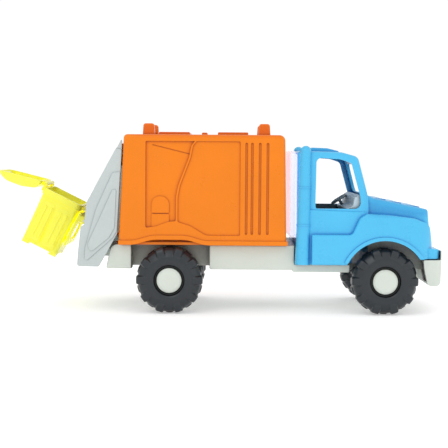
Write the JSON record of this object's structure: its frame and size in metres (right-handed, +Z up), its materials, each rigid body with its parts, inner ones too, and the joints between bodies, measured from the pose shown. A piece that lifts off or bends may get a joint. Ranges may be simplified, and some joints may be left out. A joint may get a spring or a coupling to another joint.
{
  "type": "toy garbage truck",
  "caption": "Free-rolling toy garbage truck with a bonneted cab, tipping container, swing-up rear hopper and a lidded bin on a lift.",
  "frame": {"origin": "on the ground, under the middle of the truck's overall length and width with the bin hung on behind", "axes": "+X towards the front bumper, +Y to the truck's left, +Z up"},
  "size_m": [0.4552, 0.1478, 0.192],
  "materials": {
    "light_grey_plastic": "semi-gloss moulded",
    "blue_plastic": "semi-gloss moulded",
    "pale_plastic": "semi-gloss moulded",
    "dark_grey_plastic": "satin moulded",
    "mid_grey_plastic": "satin moulded",
    "orange_plastic": "semi-gloss moulded",
    "hopper_grey_plastic": "semi-gloss moulded",
    "yellow_plastic": "semi-gloss moulded",
    "black_plastic": "satin moulded",
    "tyre": "satin, soft plastic",
    "steel": "zinc plated"
  },
  "bodies": {
    "chassis": {"chassis": "light_grey_plastic", "cab_shell": "blue_plastic", "cab_back_panel": "pale_plastic", "cab_interior": "dark_grey_plastic", "steering_wheel": "mid_grey_plastic", "front_axle_keeper": "light_grey_plastic", "rear_axle_keeper": "light_grey_plastic", "keeper_screws": "steel", "cab_screws": "steel", "container_hinge_pin": "steel"},
    "container": {"container_shell": "orange_plastic", "container_floor": "orange_plastic", "floor_screws": "steel", "tailgate_hinge_pin": "steel"},
    "hopper": {"hopper_shell": "hopper_grey_plastic", "bin_lift_pin": "steel"},
    "lift": {"bin_lift": "yellow_plastic"},
    "bin": {"bin_tub": "yellow_plastic", "bin_lid_pin": "yellow_plastic"},
    "lid": {"bin_lid": "yellow_plastic"},
    "front_wheels": {"front_axle": "steel", "front_right_tyre": "tyre", "front_right_wheel_disc": "black_plastic", "front_right_hub_cap": "light_grey_plastic", "front_left_tyre": "tyre", "front_left_wheel_disc": "black_plastic", "front_left_hub_cap": "light_grey_plastic"},
    "rear_wheels": {"rear_axle": "steel", "rear_right_tyre": "tyre", "rear_right_wheel_disc": "black_plastic", "rear_right_hub_cap": "light_grey_plastic", "rear_left_tyre": "tyre", "rear_left_wheel_disc": "black_plastic", "rear_left_hub_cap": "light_grey_plastic"}
  },
  "joints": [
    {"name": "front_wheels_roll", "type": "hinge", "parent": "chassis", "child": "front_wheels", "pos_m": [0.1685, 0, 0.0338], "axis": [0, 1, 0], "continuous": true},
    {"name": "rear_wheels_roll", "type": "hinge", "parent": "chassis", "child": "rear_wheels", "pos_m": [-0.0485, 0, 0.0338], "axis": [0, 1, 0], "continuous": true},
    {"name": "container_tip", "type": "hinge", "parent": "chassis", "child": "container", "pos_m": [-0.106, 0, 0.066], "axis": [0, -1, 0], "range_deg": [0, 35]},
    {"name": "tailgate_swing", "type": "hinge", "parent": "container", "child": "hopper", "pos_m": [-0.0986, 0, 0.1678], "axis": [0, 1, 0], "range_deg": [0, 80]},
    {"name": "bin_lift_turn", "type": "hinge", "parent": "hopper", "child": "lift", "pos_m": [-0.139, 0, 0.0905], "axis": [0, 1, 0], "range_deg": [-26, 70]},
    {"name": "bin_lift_off", "type": "slide", "parent": "lift", "child": "bin", "axis": [0.4462, 0, 0.8949], "range_m": [0, 0.012]},
    {"name": "lid_swing", "type": "hinge", "parent": "bin", "child": "lid", "pos_m": [-0.18055, 0, 0.12865], "axis": [0, 1, 0], "range_deg": [0, 190]}
  ]
}
